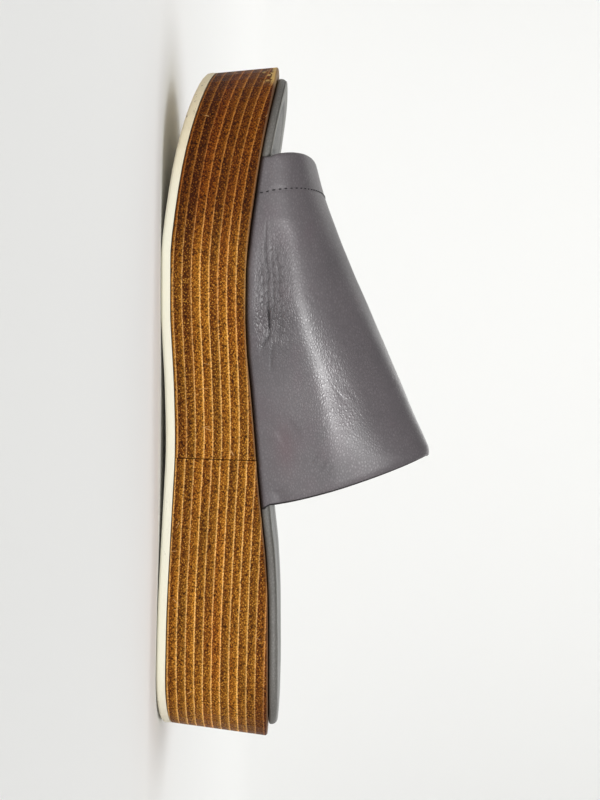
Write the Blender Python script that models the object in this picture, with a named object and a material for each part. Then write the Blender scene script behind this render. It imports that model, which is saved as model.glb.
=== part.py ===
"""Right-foot slide sandal: a wide leather band over a stacked wooden platform.

The shoe stands on its sole. +X runs from heel to toe, +Y to the inner (medial) side, +Z up.
The origin is on the floor, under the middle of the shoe's bounding box.
Stations are shares of SOLE_LENGTH, counted from the heel's end of the platform's top edge.
"""

import math

import bmesh
import bpy
from mathutils import Vector

MM = 0.001

# Platform
SOLE_LENGTH = 258 * MM
BALL_WIDTH = 92 * MM
HEEL_WIDTH = 66 * MM
TIP_OFFSET = 5 * MM
BALL_HEIGHT = 30.9 * MM
HEEL_HEIGHT = 41.8 * MM
TOE_LIFT = 10 * MM
WALL_DRAFT = math.radians(6.5)
TOP_EDGE_ROUND = 0.6 * MM
HEEL_CAP = 30 * MM
MEDIAL_TOE_CAP = 42 * MM
LATERAL_TOE_CAP = 69 * MM
JOINT_STATION = 0.419
JOINT_LEAN = math.radians(0.4)

# Outsole
OUTSOLE_THICKNESS = 3.5 * MM
OUTSOLE_EDGE_ROUND = 1.6 * MM
TOE_SPRING = 17 * MM
ARCH_RISE = 1.9 * MM
HEEL_BEVEL = 1.6 * MM

# Insole
INSOLE_MARGIN = 4.4 * MM
INSOLE_THICKNESS = 3.4 * MM
INSOLE_DISH = 0.6 * MM
INSOLE_RIM = 12 * MM

# Upper
UPPER_WALL = 2.0 * MM
HEM_WALL = 3.0 * MM
HEM_LENGTH = 13.5 * MM
HEM_STEP = 0.6 * MM
INSTEP_HEIGHT = 67.5 * MM
TOE_OPENING_HEIGHT = 19.3 * MM
RIDGE_SHIFT = 6 * MM
HEEL_TAB = 1.8 * MM
UPPER_EDGE_ROUND = 0.5 * MM
# The upper's foot bends in under it beside the insole: the outer face by a share of
# UPPER_WALL, the inner face by a share of the radius of the insole's edge, from a height
# that is a share of INSOLE_THICKNESS
OUTER_TUCK = 0.85
INNER_TUCK = 0.45
TUCK_TOP = 0.9

# Between glued faces, so that the meshes stay apart
SEAM = 0.3 * MM

# Plan of the platform's top edge. The half widths are shares of a width that goes
# from HEEL_WIDTH at blend 0 to BALL_WIDTH at blend 1.
# station, blend, medial, lateral
PLAN = (
    (0.000, 0.00, 0.500, 0.500),
    (0.130, 0.00, 0.500, 0.500),
    (0.212, 0.10, 0.474, 0.489),
    (0.329, 0.30, 0.407, 0.474),
    (0.406, 0.45, 0.393, 0.483),
    (0.519, 0.70, 0.404, 0.499),
    (0.600, 0.90, 0.430, 0.509),
    (0.652, 1.00, 0.448, 0.505),
    (0.717, 1.00, 0.478, 0.505),
    (0.764, 1.00, 0.493, 0.505),
    (0.846, 1.00, 0.495, 0.500),
    (1.000, 1.00, 0.480, 0.500),
)

# Height of the platform's top: BALL_HEIGHT, plus heel shares of the heel's extra height
# and toe shares of TOE_LIFT.
# station, heel, toe
SEAT = (
    (0.000, 0.96, 0.00),
    (0.058, 1.00, 0.00),
    (0.150, 0.97, 0.00),
    (0.212, 0.93, 0.00),
    (0.277, 0.82, 0.00),
    (0.335, 0.65, 0.00),
    (0.399, 0.48, 0.00),
    (0.458, 0.35, 0.00),
    (0.521, 0.20, 0.00),
    (0.580, 0.05, 0.00),
    (0.631, 0.00, 0.00),
    (0.682, 0.00, 0.00),
    (0.729, 0.00, 0.09),
    (0.789, 0.00, 0.27),
    (0.852, 0.00, 0.48),
    (0.916, 0.00, 0.74),
    (0.964, 0.00, 0.91),
    (1.000, 0.00, 0.97),
)

# Underside of the outsole above the floor, as shares of TOE_SPRING, ARCH_RISE and
# HEEL_BEVEL. Heel and forefoot each have a stretch that lies flat on the floor.
# station, toe, arch, heel
UNDERSIDE = (
    (0.000, 0.00, 0.00, 1.00),
    (0.025, 0.00, 0.00, 0.55),
    (0.055, 0.00, 0.00, 0.18),
    (0.090, 0.00, 0.00, 0.00),
    (0.165, 0.00, 0.00, 0.00),
    (0.283, 0.00, 0.30, 0.00),
    (0.355, 0.00, 0.62, 0.00),
    (0.437, 0.00, 1.00, 0.00),
    (0.519, 0.00, 0.72, 0.00),
    (0.580, 0.00, 0.30, 0.00),
    (0.626, 0.00, 0.00, 0.00),
    (0.703, 0.00, 0.00, 0.00),
    (0.761, 0.08, 0.00, 0.00),
    (0.820, 0.20, 0.00, 0.00),
    (0.884, 0.39, 0.00, 0.00),
    (0.954, 0.65, 0.00, 0.00),
    (1.000, 0.86, 0.00, 0.00),
)

# Ends of the upper, as stations, at its inner foot, over the ridge and at its outer foot.
# end, medial, ridge, lateral
UPPER_ENDS = (
    ("front", 0.846, 0.860, 0.805),
    ("back", 0.354, 0.429, 0.336),
)
FRONT_EDGE_BOW = 0.6
BACK_EDGE_BOW = 1.3

# Ridge of the upper, from its front edge to its back edge: the rise is a share of the way
# from TOE_OPENING_HEIGHT to INSTEP_HEIGHT, the shift a share of RIDGE_SHIFT, and the
# fullness swells each side of the arch beyond a quarter ellipse.
# along, rise, shift, medial fullness, lateral fullness
RIDGE = (
    (0.00, 0.00, 0.20, 0.20, 0.18),
    (0.10, 0.10, 0.28, 0.18, 0.16),
    (0.25, 0.28, 0.42, 0.15, 0.12),
    (0.40, 0.46, 0.60, 0.12, 0.08),
    (0.55, 0.62, 0.75, 0.10, 0.05),
    (0.73, 0.78, 0.90, 0.08, 0.03),
    (0.86, 0.88, 0.97, 0.06, 0.02),
    (1.00, 1.00, 1.00, 0.05, 0.00),
)

# Counts of steps in the meshes
HEEL_STEPS = 9
BODY_STEPS = 26
TOE_STEPS = 13
EDGE_STEPS = 3
ARCH_STEPS = 12
BAND_STEPS = 16
# Rows of the upper's foot, as shares of INSOLE_THICKNESS
FOOT_ROWS = (0.0, 0.22, 0.5, 0.8)

# name: colour, roughness
FINISHES = {
    "cream_rubber": ((0.90, 0.86, 0.70), 0.55),
    "stained_wood": ((0.25, 0.10, 0.03), 0.45),
    "grey_insole_leather": ((0.27, 0.27, 0.25), 0.50),
    "grey_upper_leather": ((0.19, 0.17, 0.18), 0.42),
}


def row_value(table, column, at):
    """A column of a table at any place between its rows, on a smooth curve without overshoot."""
    places = [row[0] for row in table]
    values = [row[column] for row in table]
    if at <= places[0]:
        return values[0]
    if at >= places[-1]:
        return values[-1]
    i = max(k for k in range(len(places) - 1) if places[k] <= at)
    step = places[i + 1] - places[i]
    rise = (values[i + 1] - values[i]) / step

    def tangent(k):
        if k == 0 or k == len(places) - 1:
            return rise
        before = (values[k] - values[k - 1]) / (places[k] - places[k - 1])
        after = (values[k + 1] - values[k]) / (places[k + 1] - places[k])
        if before * after <= 0:
            return 0.0
        return 2 * before * after / (before + after)

    t = (at - places[i]) / step
    start = (1 + 2 * t) * (1 - t) ** 2 * values[i] + t * (1 - t) ** 2 * step * tangent(i)
    end = t * t * (3 - 2 * t) * values[i + 1] + t * t * (t - 1) * step * tangent(i + 1)
    return start + end


def mix(a, b, t):
    return a + (b - a) * t


def station(x):
    return min(max(x / SOLE_LENGTH, 0.0), 1.0)


def cap_share(distance, length):
    """Share of the full width, at a distance from the round end of a cap of this length."""
    if distance >= length:
        return 1.0
    return math.sqrt(max(0.0, 1 - (1 - distance / length) ** 2))


def plan_y(x, side):
    """Edge of the platform's top at x from the heel. side is 1 for medial, -1 for lateral."""
    s = station(x)
    width = mix(HEEL_WIDTH, BALL_WIDTH, row_value(PLAN, 1, s))
    half = width * row_value(PLAN, 2 if side > 0 else 3, s)
    if x < HEEL_CAP:
        return side * half * cap_share(x, HEEL_CAP)
    cap = MEDIAL_TOE_CAP if side > 0 else LATERAL_TOE_CAP
    share = cap_share(SOLE_LENGTH - x, cap)
    return mix(TIP_OFFSET, side * half, share) if share < 1 else side * half


def seat_z(x):
    """Top of the platform."""
    s = station(x)
    heel = row_value(SEAT, 1, s) * (HEEL_HEIGHT - BALL_HEIGHT)
    return BALL_HEIGHT + heel + row_value(SEAT, 2, s) * TOE_LIFT


def floor_z(x):
    """Underside of the outsole."""
    s = station(x)
    toe = row_value(UNDERSIDE, 1, s) * TOE_SPRING
    arch = row_value(UNDERSIDE, 2, s) * ARCH_RISE
    return toe + arch + row_value(UNDERSIDE, 3, s) * HEEL_BEVEL


def outsole_top_z(x):
    return floor_z(x) + OUTSOLE_THICKNESS


def platform_bottom_z(x):
    return outsole_top_z(x) + SEAM


def outline():
    """The platform's top edge: from the heel along the medial side to the toe and back."""
    xs = [HEEL_CAP * (1 - math.cos(math.pi / 2 * i / HEEL_STEPS)) for i in range(HEEL_STEPS)]
    toe_start = SOLE_LENGTH - LATERAL_TOE_CAP
    xs += [mix(HEEL_CAP, toe_start, i / BODY_STEPS) for i in range(BODY_STEPS)]
    turn = [math.sin(math.pi / 2 * i / TOE_STEPS) for i in range(TOE_STEPS + 1)]
    xs += [toe_start + LATERAL_TOE_CAP * t for t in turn]
    medial = [Vector((x, plan_y(x, 1))) for x in xs]
    lateral = [Vector((x, plan_y(x, -1))) for x in reversed(xs[1:-1])]
    return medial + lateral


def inward(points):
    """The direction into the outline at each of its points."""
    directions = []
    for i, point in enumerate(points):
        along = points[(i + 1) % len(points)] - points[i - 1]
        directions.append(Vector((along.y, -along.x)).normalized())
    return directions


PLAN_POINTS = outline()
PLAN_INWARD = inward(PLAN_POINTS)


def middle():
    """Middle of the bounding box in plan, which is the platform's top edge."""
    ys = [p.y for p in PLAN_POINTS]
    return Vector((SOLE_LENGTH / 2, (min(ys) + max(ys)) / 2, 0))


def ring(inset, height):
    """A closed ring of points: the outline moved in by inset(x), at height(x)."""
    points = []
    for point, direction in zip(PLAN_POINTS, PLAN_INWARD):
        moved = point + direction * inset(point.x)
        points.append(Vector((moved.x, moved.y, height(moved.x))))
    return points


def stacked_rings(rings):
    """A closed mesh from rings, lowest first, with its two caps spanned across the shoe."""
    bm = bmesh.new()
    rows = [[bm.verts.new(p) for p in points] for points in rings]
    count = len(rows[0])
    for low, high in zip(rows, rows[1:]):
        for i in range(count):
            j = (i + 1) % count
            bm.faces.new((low[j], low[i], high[i], high[j]))
    half = count // 2
    for row, up in ((rows[0], False), (rows[-1], True)):
        for i in range(half):
            a, b = row[i], row[i + 1]
            c, d = row[(-i - 1) % count], row[-i % count]
            corners = [a, b, c, d]
            if i == 0:
                corners = [a, b, c]
            if i == half - 1:
                corners = [a, b, d]
            bm.faces.new(reversed(corners) if up else corners)
    bmesh.ops.recalc_face_normals(bm, faces=bm.faces)
    return bm


def finish(name):
    """The material of one finish, made once."""
    material = bpy.data.materials.get(name)
    if material is None:
        colour, roughness = FINISHES[name]
        material = bpy.data.materials.new(name)
        material.use_nodes = True
        shader = material.node_tree.nodes["Principled BSDF"]
        shader.inputs["Base Color"].default_value = (*colour, 1)
        shader.inputs["Roughness"].default_value = roughness
        shader.inputs["Metallic"].default_value = 0
    return material


def add_object(name, bm, finish_name, sharp_angle=35):
    """An object from a mesh in heel coordinates, moved to the shoe's frame."""
    mesh = bpy.data.meshes.new(name)
    bmesh.ops.translate(bm, verts=bm.verts, vec=-middle())
    bm.to_mesh(mesh)
    bm.free()
    mesh.shade_smooth()
    mesh.set_sharp_from_angle(angle=math.radians(sharp_angle))
    mesh.materials.append(finish(finish_name))
    obj = bpy.data.objects.new(name, mesh)
    bpy.context.scene.collection.objects.link(obj)
    return obj


def draft_inset(depth):
    """How far the drafted wall has moved in, at a depth below the platform's top edge."""
    return depth * math.tan(WALL_DRAFT)


def platform_body():
    """The whole wooden platform, before its two blocks are parted."""

    def bottom_inset(x):
        return draft_inset(seat_z(x) - platform_bottom_z(x))

    return stacked_rings(
        [
            ring(bottom_inset, platform_bottom_z),
            ring(lambda x: draft_inset(TOP_EDGE_ROUND), lambda x: seat_z(x) - TOP_EDGE_ROUND),
            ring(lambda x: TOP_EDGE_ROUND, seat_z),
        ]
    )


def platform_block(name, direction):
    """One block of the platform, on the toe's side (1) or the heel's side (-1) of the joint."""
    bm = platform_body()
    x = SOLE_LENGTH * JOINT_STATION
    normal = Vector((math.cos(JOINT_LEAN), 0, math.sin(JOINT_LEAN))) * -direction
    point = Vector((x, 0, seat_z(x) / 2)) - normal * SEAM / 2
    geometry = [*bm.verts, *bm.edges, *bm.faces]
    bmesh.ops.bisect_plane(bm, geom=geometry, plane_co=point, plane_no=normal, clear_outer=True)
    rim = [edge for edge in bm.edges if edge.is_boundary]
    bmesh.ops.contextual_create(bm, geom=rim)
    bmesh.ops.recalc_face_normals(bm, faces=bm.faces)
    return add_object(name, bm, "stained_wood")


def outsole():
    """The thin rubber sole under the platform, with its lower edge rounded."""

    def top_inset(x):
        return draft_inset(seat_z(x) - outsole_top_z(x))

    def rounded(turn):
        drop = OUTSOLE_EDGE_ROUND * (1 - math.sin(turn))
        inset = OUTSOLE_EDGE_ROUND * (1 - math.cos(turn))
        return ring(lambda x: top_inset(x) + inset, lambda x: floor_z(x) + drop)

    turns = [math.pi / 2 * (1 - i / EDGE_STEPS) for i in range(EDGE_STEPS + 1)]
    return add_object(
        "outsole",
        stacked_rings([*(rounded(turn) for turn in turns), ring(top_inset, outsole_top_z)]),
        "cream_rubber",
    )


def insole():
    """The padded footbed: a bullnose edge and a shallow dish inside its rim."""
    radius = INSOLE_THICKNESS / 2

    def insole_ring(inset, height):
        return ring(
            lambda x: INSOLE_MARGIN + inset,
            lambda x: seat_z(x) + SEAM + height,
        )

    rings = []
    for i in range(2 * EDGE_STEPS + 1):
        turn = math.pi / 2 * i / EDGE_STEPS
        rings.append(insole_ring(radius * (1 - math.sin(turn)), radius * (1 - math.cos(turn))))
    rings.append(insole_ring(mix(radius, INSOLE_RIM, 0.4), INSOLE_THICKNESS - 0.3 * INSOLE_DISH))
    rings.append(insole_ring(INSOLE_RIM, INSOLE_THICKNESS - INSOLE_DISH))
    return add_object("insole", stacked_rings(rings), "grey_insole_leather", 50)


def upper_outer(x, side, turn, foot_share):
    """A point of the upper's outer face: on its upright foot, at a share of the insole's
    thickness, or with share 1 at an angle up its arch."""
    front, back = (SOLE_LENGTH * row[2] for row in UPPER_ENDS)
    along = (front - x) / (front - back)
    inset = INSOLE_MARGIN - SEAM - UPPER_WALL
    edge = plan_y(x, side) - side * inset
    opposite = plan_y(x, -side) + side * inset
    ridge = (edge + opposite) / 2 + RIDGE_SHIFT * row_value(RIDGE, 2, along)
    height = mix(TOE_OPENING_HEIGHT, INSTEP_HEIGHT, row_value(RIDGE, 1, along))
    base = seat_z(x) + SEAM
    if foot_share < 1:
        tuck = OUTER_TUCK * UPPER_WALL * max(0.0, 1 - foot_share / TUCK_TOP) ** 2
        return Vector((x, edge - side * tuck, base + foot_share * INSOLE_THICKNESS))
    fullness = row_value(RIDGE, 3 if side > 0 else 4, along)
    reach = math.cos(turn) * (1 + fullness * math.sin(turn) ** 2)
    rise = INSOLE_THICKNESS + (height - SEAM - INSOLE_THICKNESS) * math.sin(turn)
    return Vector((x, mix(ridge, edge, reach), base + rise))


def end_x(end, side, turn, foot_share):
    """Where the upper's front or back edge crosses a row. The back edge ends in a small tab
    at the foot."""
    _, medial, ridge, lateral = UPPER_ENDS[0 if end == "front" else 1]
    bow = FRONT_EDGE_BOW if end == "front" else BACK_EDGE_BOW
    foot = medial if side > 0 else lateral
    tab = HEEL_TAB * (1 - foot_share) if end == "back" else 0.0
    return SOLE_LENGTH * mix(foot, ridge, math.sin(turn) ** bow) - tab


def upper_rows():
    """Rows across the upper from its medial foot over the ridge to its lateral foot."""
    foot = [(0.0, share) for share in FOOT_ROWS]
    arch = [(math.pi / 2 * i / ARCH_STEPS, 1.0) for i in range(ARCH_STEPS + 1)]
    up = [(1, turn, share) for turn, share in foot + arch]
    down = [(-1, turn, share) for turn, share in reversed(foot + arch[:-1])]
    return up + down


def column_xs(side, turn, foot_share):
    """Where the columns cross a row, from the front edge to the back edge."""
    front = end_x("front", side, turn, foot_share)
    back = end_x("back", side, turn, foot_share)
    hem = (0.0, UPPER_EDGE_ROUND, HEM_LENGTH / 2, HEM_LENGTH - HEM_STEP, HEM_LENGTH)
    xs = [front - distance for distance in hem]
    last = back + UPPER_EDGE_ROUND
    xs += [mix(xs[-1], last, i / BAND_STEPS) for i in range(1, BAND_STEPS + 1)]
    return [*xs, back]


def wall_at(column, share_up):
    """The upper's thickness: double leather in the front hem, above the insole."""
    if column < 4:
        return mix(UPPER_WALL, HEM_WALL, min(1.0, share_up / 0.3))
    return UPPER_WALL


def upper():
    """The leather band: one hollow wall, open in front, behind and underneath."""
    rows = upper_rows()
    outer = [
        [upper_outer(x, side, turn, share) for x in column_xs(side, turn, share)]
        for side, turn, share in rows
    ]
    columns = len(outer[0])
    inner = []
    for r, (side, turn, share) in enumerate(rows):
        line = []
        for c, point in enumerate(outer[r]):
            if share < 1:
                tuck = INNER_TUCK * INSOLE_THICKNESS / 2 * max(0.0, 1 - 2 * share) ** 2
                edge = plan_y(point.x, side) - side * (INSOLE_MARGIN - SEAM + tuck)
                line.append(Vector((point.x, edge, point.z)))
                continue
            across = outer[min(r + 1, len(rows) - 1)][c] - outer[max(r - 1, 0)][c]
            ahead = outer[r][min(c + 1, columns - 1)] - outer[r][max(c - 1, 0)]
            normal = ahead.cross(across).normalized()
            line.append(point - normal * wall_at(c, math.sin(turn)))
        inner.append(line)
    for r in range(len(rows)):
        for c in (0, columns - 1):
            middle_point = (outer[r][c] + inner[r][c]) / 2
            outer[r][c] = outer[r][c].lerp(middle_point, 0.4)
            inner[r][c] = inner[r][c].lerp(middle_point, 0.4)
    bm = bmesh.new()
    faces_out = [[bm.verts.new(p) for p in line] for line in outer]
    faces_in = [[bm.verts.new(p) for p in line] for line in inner]
    for r in range(len(rows) - 1):
        for c in range(columns - 1):
            a, b = faces_out[r][c], faces_out[r][c + 1]
            d, e = faces_out[r + 1][c], faces_out[r + 1][c + 1]
            bm.faces.new((a, b, e, d))
            a, b = faces_in[r][c], faces_in[r][c + 1]
            d, e = faces_in[r + 1][c], faces_in[r + 1][c + 1]
            bm.faces.new((d, e, b, a))
        for c in (0, columns - 1):
            bm.faces.new((faces_out[r][c], faces_out[r + 1][c], faces_in[r + 1][c], faces_in[r][c]))
    for r in (0, len(rows) - 1):
        for c in range(columns - 1):
            bm.faces.new((faces_out[r][c], faces_out[r][c + 1], faces_in[r][c + 1], faces_in[r][c]))
    bmesh.ops.recalc_face_normals(bm, faces=bm.faces)
    return add_object("upper", bm, "grey_upper_leather", 50)


def main():
    for obj in list(bpy.data.objects):
        bpy.data.objects.remove(obj)
    outsole()
    platform_block("platform_front", 1)
    platform_block("platform_heel", -1)
    insole()
    upper()


main()
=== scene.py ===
"""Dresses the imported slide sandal: leather band, padded insole, stacked wood, cream rubber.

Everything is in metres in the part's frame: +X heel to toe, +Y the inner (medial) side, +Z up.
Shape functions work in heel coordinates, x counted from the heel's end of the platform,
and to_frame() moves their points into the part's frame.
"""

import math

import bmesh
import bpy
from mathutils import Matrix, Vector, noise


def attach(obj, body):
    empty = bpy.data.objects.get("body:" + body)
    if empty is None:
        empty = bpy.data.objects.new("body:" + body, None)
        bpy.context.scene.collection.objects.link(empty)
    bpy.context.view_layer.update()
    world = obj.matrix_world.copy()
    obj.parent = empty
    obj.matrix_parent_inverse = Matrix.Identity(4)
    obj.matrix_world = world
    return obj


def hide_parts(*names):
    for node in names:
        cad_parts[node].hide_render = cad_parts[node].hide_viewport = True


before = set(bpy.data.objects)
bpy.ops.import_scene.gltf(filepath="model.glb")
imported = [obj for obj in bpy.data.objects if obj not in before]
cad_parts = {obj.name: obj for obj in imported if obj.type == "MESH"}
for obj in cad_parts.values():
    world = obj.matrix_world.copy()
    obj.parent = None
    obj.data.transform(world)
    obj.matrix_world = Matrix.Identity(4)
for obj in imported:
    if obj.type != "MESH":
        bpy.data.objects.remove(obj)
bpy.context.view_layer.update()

MM = 0.001


def rgb(red, green, blue):
    """A colour as read from a picture, 0 to 255, in the renderer's linear values."""

    def linear(value):
        value /= 255
        return value / 12.92 if value <= 0.04045 else ((value + 0.055) / 1.055) ** 2.4

    return (linear(red), linear(green), linear(blue), 1.0)


# Shape, as in the part's source
SOLE_LENGTH = 258 * MM
BALL_WIDTH = 92 * MM
HEEL_WIDTH = 66 * MM
TIP_OFFSET = 5 * MM
BALL_HEIGHT = 30.9 * MM
HEEL_HEIGHT = 41.8 * MM
TOE_LIFT = 10 * MM
HEEL_CAP = 30 * MM
MEDIAL_TOE_CAP = 42 * MM
LATERAL_TOE_CAP = 69 * MM
OUTSOLE_THICKNESS = 3.5 * MM
TOE_SPRING = 17 * MM
ARCH_RISE = 1.9 * MM
INSOLE_MARGIN = 4.4 * MM
INSOLE_THICKNESS = 3.4 * MM
UPPER_WALL = 2.0 * MM
HEM_WALL = 3.0 * MM
HEM_LENGTH = 13.5 * MM
INSTEP_HEIGHT = 67.5 * MM
TOE_OPENING_HEIGHT = 19.3 * MM
RIDGE_SHIFT = 6 * MM
HEEL_TAB = 1.8 * MM
OUTER_TUCK = 0.85
INNER_TUCK = 0.45
TUCK_TOP = 0.55
SEAM = 0.3 * MM

# station, blend from heel to ball width, medial share, lateral share
PLAN = (
    (0.000, 0.00, 0.500, 0.500),
    (0.130, 0.00, 0.500, 0.500),
    (0.212, 0.10, 0.474, 0.489),
    (0.329, 0.30, 0.407, 0.474),
    (0.406, 0.45, 0.393, 0.483),
    (0.519, 0.70, 0.404, 0.499),
    (0.600, 0.90, 0.430, 0.509),
    (0.652, 1.00, 0.448, 0.505),
    (0.717, 1.00, 0.478, 0.505),
    (0.764, 1.00, 0.493, 0.505),
    (0.846, 1.00, 0.495, 0.500),
    (1.000, 1.00, 0.480, 0.500),
)
# station, heel share, toe share of the platform's top
SEAT = (
    (0.000, 0.96, 0.00),
    (0.058, 1.00, 0.00),
    (0.150, 0.97, 0.00),
    (0.212, 0.93, 0.00),
    (0.277, 0.82, 0.00),
    (0.335, 0.65, 0.00),
    (0.399, 0.48, 0.00),
    (0.458, 0.35, 0.00),
    (0.521, 0.20, 0.00),
    (0.580, 0.05, 0.00),
    (0.631, 0.00, 0.00),
    (0.682, 0.00, 0.00),
    (0.729, 0.00, 0.09),
    (0.789, 0.00, 0.27),
    (0.852, 0.00, 0.48),
    (0.916, 0.00, 0.74),
    (0.964, 0.00, 0.91),
    (1.000, 0.00, 0.97),
)
# station, toe and arch shares of the outsole's underside, without the bevel at its heel
UNDERSIDE = (
    (0.000, 0.00, 0.00),
    (0.165, 0.00, 0.00),
    (0.283, 0.00, 0.30),
    (0.355, 0.00, 0.62),
    (0.437, 0.00, 1.00),
    (0.519, 0.00, 0.72),
    (0.580, 0.00, 0.30),
    (0.626, 0.00, 0.00),
    (0.703, 0.00, 0.00),
    (0.761, 0.08, 0.00),
    (0.820, 0.20, 0.00),
    (0.884, 0.39, 0.00),
    (0.954, 0.65, 0.00),
    (1.000, 0.86, 0.00),
)
# end, medial foot, ridge, lateral foot, bow
UPPER_ENDS = {
    "front": (0.846, 0.860, 0.805, 0.6),
    "back": (0.354, 0.429, 0.336, 1.3),
}
# along the ridge, rise, shift, medial fullness, lateral fullness
RIDGE = (
    (0.00, 0.00, 0.20, 0.20, 0.18),
    (0.10, 0.10, 0.28, 0.18, 0.16),
    (0.25, 0.28, 0.42, 0.15, 0.12),
    (0.40, 0.46, 0.60, 0.12, 0.08),
    (0.55, 0.62, 0.75, 0.10, 0.05),
    (0.73, 0.78, 0.90, 0.08, 0.03),
    (0.86, 0.88, 0.97, 0.06, 0.02),
    (1.00, 1.00, 1.00, 0.05, 0.00),
)

# Steps round the heel, along the body and round the toe: the part's own, and the insole's
PART_STEPS = (9, 26, 13)
INSOLE_STEPS = (16, 60, 26)

# Camera: place and aim in heel coordinates and the toe's lean to the right, then the
# picture's long side and the focal length in pixels, and the sensor in mm
EYE = Vector((134.7 * MM, 550.4 * MM, 54.6 * MM))
AIM = Vector((130.5 * MM, 0, 51.3 * MM))
ROLL = math.radians(1.2)
IMAGE_LONG = 800
SENSOR = 36.0
FOCAL_PIXELS = 1410
CLIP = (0.01, 20)

# The band's grid and its edges
FOOT_STEPS = 6
ARCH_STEPS = 110
ARCH_CROWDING = 1.7
COLUMNS = 175
EDGE_SHARES = (0.0, 0.0020, 0.0050, 0.0085, 0.0125)
EDGE_RADIUS = 0.95 * MM
EDGE_ROLL = 0.5 * MM
CROWN_ROLL = 0.45 * MM
ROLL_LENGTH = 4.2 * MM
CUT_EDGE = 0.7 * MM
HEM_BLEND = 1 * MM
HEM_BULGE = 0.05 * MM

# The hem's seam
STITCH_PITCH = 2.3 * MM
STITCH_LENGTH = 1.3 * MM
STITCH_RADIUS = 0.24 * MM
STITCH_SINK = 0.35 * MM
STITCH_SIDES = 6
STITCH_RINGS = 7
FIRST_STITCH = 1.0 * MM
THREAD_LINE = 13.2 * MM
THREAD_GROOVE = (0.14 * MM, 0.8 * MM)

# Slow unevenness of the leather: waves per metre, height
SLOW_WAVES = ((38, 0.28 * MM), (95, 0.04 * MM))

# Creases and soft ridges of the medial side: depth and width in mm, then the line's points as
# station and height up the side in mm. A depth below zero is a ridge.
CREASES = (
    (0.26, 0.40, ((0.760, 6.2), (0.715, 7.3), (0.683, 8.9), (0.655, 8.6), (0.625, 9.4), (0.604, 9.6))),
    (0.40, 0.36, ((0.645, 9.0), (0.617, 9.6), (0.602, 9.5), (0.592, 8.6), (0.584, 7.0), (0.574, 5.4))),
    (0.16, 0.45, ((0.735, 8.6), (0.700, 10.4), (0.672, 11.2), (0.640, 11.0), (0.612, 11.6))),
    (0.16, 0.55, ((0.722, 10.6), (0.690, 12.6), (0.664, 13.2), (0.640, 12.8))),
    (0.14, 0.55, ((0.700, 6.6), (0.664, 6.9), (0.636, 7.3))),
    (0.14, 0.60, ((0.588, 10.6), (0.566, 9.6), (0.545, 8.8))),
    (0.12, 0.60, ((0.628, 14.6), (0.606, 13.4), (0.590, 12.2))),
    (0.13, 0.60, ((0.420, 27.0), (0.404, 23.6))),
    (0.11, 0.60, ((0.414, 29.2), (0.398, 25.8))),
    (0.10, 0.60, ((0.430, 24.0), (0.416, 21.0))),
    (0.04, 0.70, ((0.520, 33.0), (0.500, 37.0))),
    (0.04, 0.70, ((0.530, 36.0), (0.508, 40.5))),
    (0.04, 0.60, ((0.668, 24.5), (0.655, 27.5), (0.650, 31.0))),
    (0.03, 0.60, ((0.660, 22.5), (0.644, 26.0), (0.640, 29.5))),
    (
        -0.40,
        6.00,
        ((0.720, 16.0), (0.602, 22.4), (0.523, 27.0), (0.460, 28.6), (0.400, 29.4), (0.320, 30.6)),
    ),
    (0.70, 5.60, ((0.760, 10.0), (0.700, 10.2), (0.640, 10.2), (0.580, 9.2))),
    (-0.35, 2.60, ((0.730, 3.4), (0.670, 3.2), (0.600, 2.8))),
    (0.60, 2.60, ((0.378, 7.0), (0.350, 9.6))),
    (0.22, 3.50, ((0.450, 9.0), (0.470, 17.0))),
)
# the hidden lateral side repeats them, softer and nearer the toe
LATERAL_CREASES = (0.3, -0.04)
LATERAL_CRUMPLE = 0.4
# creases narrower than this get painted shade, full at the depth below
NARROW = 1 * MM
FULL_CREASE_SHADE = 0.6 * MM
# where fine wrinkles start, are full, and fade again: stations, then heights up the side
BULGE_ALONG = (0.54, 0.63, 0.66, 0.78)
BULGE_UP = (2 * MM, 6 * MM, 12 * MM, 22 * MM)
INSTEP_ALONG = (0.42, 0.50, 0.56, 0.66)
INSTEP_UP = (20 * MM, 30 * MM, 42 * MM, 56 * MM)
INSTEP_SHARE = 0.12
# station and height of the smudge's middle, and its reach
SMUDGE = (0.44, 12 * MM)
SMUDGE_REACH = (0.035, 4 * MM)

# Leathers: colour, its darker clouds, its warmer patches, roughness
LEATHERS = {
    "upper": (rgb(116, 110, 113), rgb(107, 102, 105), rgb(115, 102, 108), 0.26),
    "lining": (rgb(150, 145, 138), rgb(138, 133, 127), rgb(140, 130, 122), 0.55),
    "insole": (rgb(130, 128, 123), rgb(119, 117, 112), rgb(124, 118, 111), 0.48),
}
# cells and noises per metre, and the sway that keeps the grain from being regular
PEBBLES = 1050
SWELL = 700
PORES = 2600
CRACKS = 850
FAN = 700
SWAY = (1.6 * MM, -1.2 * MM, 0.8 * MM)
# where along the band it grows duller, where that is full, and how much rougher
DULL_FRONT = (28 * MM, 46 * MM, 0.13)
DULL_BACK = (-4 * MM, -32 * MM, 0.18)
# tints here and below: how far each covers, and its colour
WARM = 0.35
# painted shade in the narrow creases
CREASE_SHADE = (0.9, rgb(40, 37, 39))
FOOT_SHADE = (0.9, rgb(30, 27, 27))
SMUDGE_TINT = (0.3, rgb(112, 74, 82))
# the insole's paler top cover, lighter toward the toe with painted light
PALE_COVER_AND_TOE_LIGHT = (1.0, rgb(162, 160, 152))
# painted shade in the insole's seam groove
SEAM_GROOVE_SHADE = (0.7, rgb(62, 60, 58))
CUT = rgb(50, 47, 48)
THREAD = rgb(52, 49, 52)

# Wood: each block's first glue line above the outsole, and its seed
LAYER = 3.28 * MM
BLOCKS = {"front": (1.15 * MM, 1.3), "heel": (0.85 * MM, 4.9)}
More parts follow.
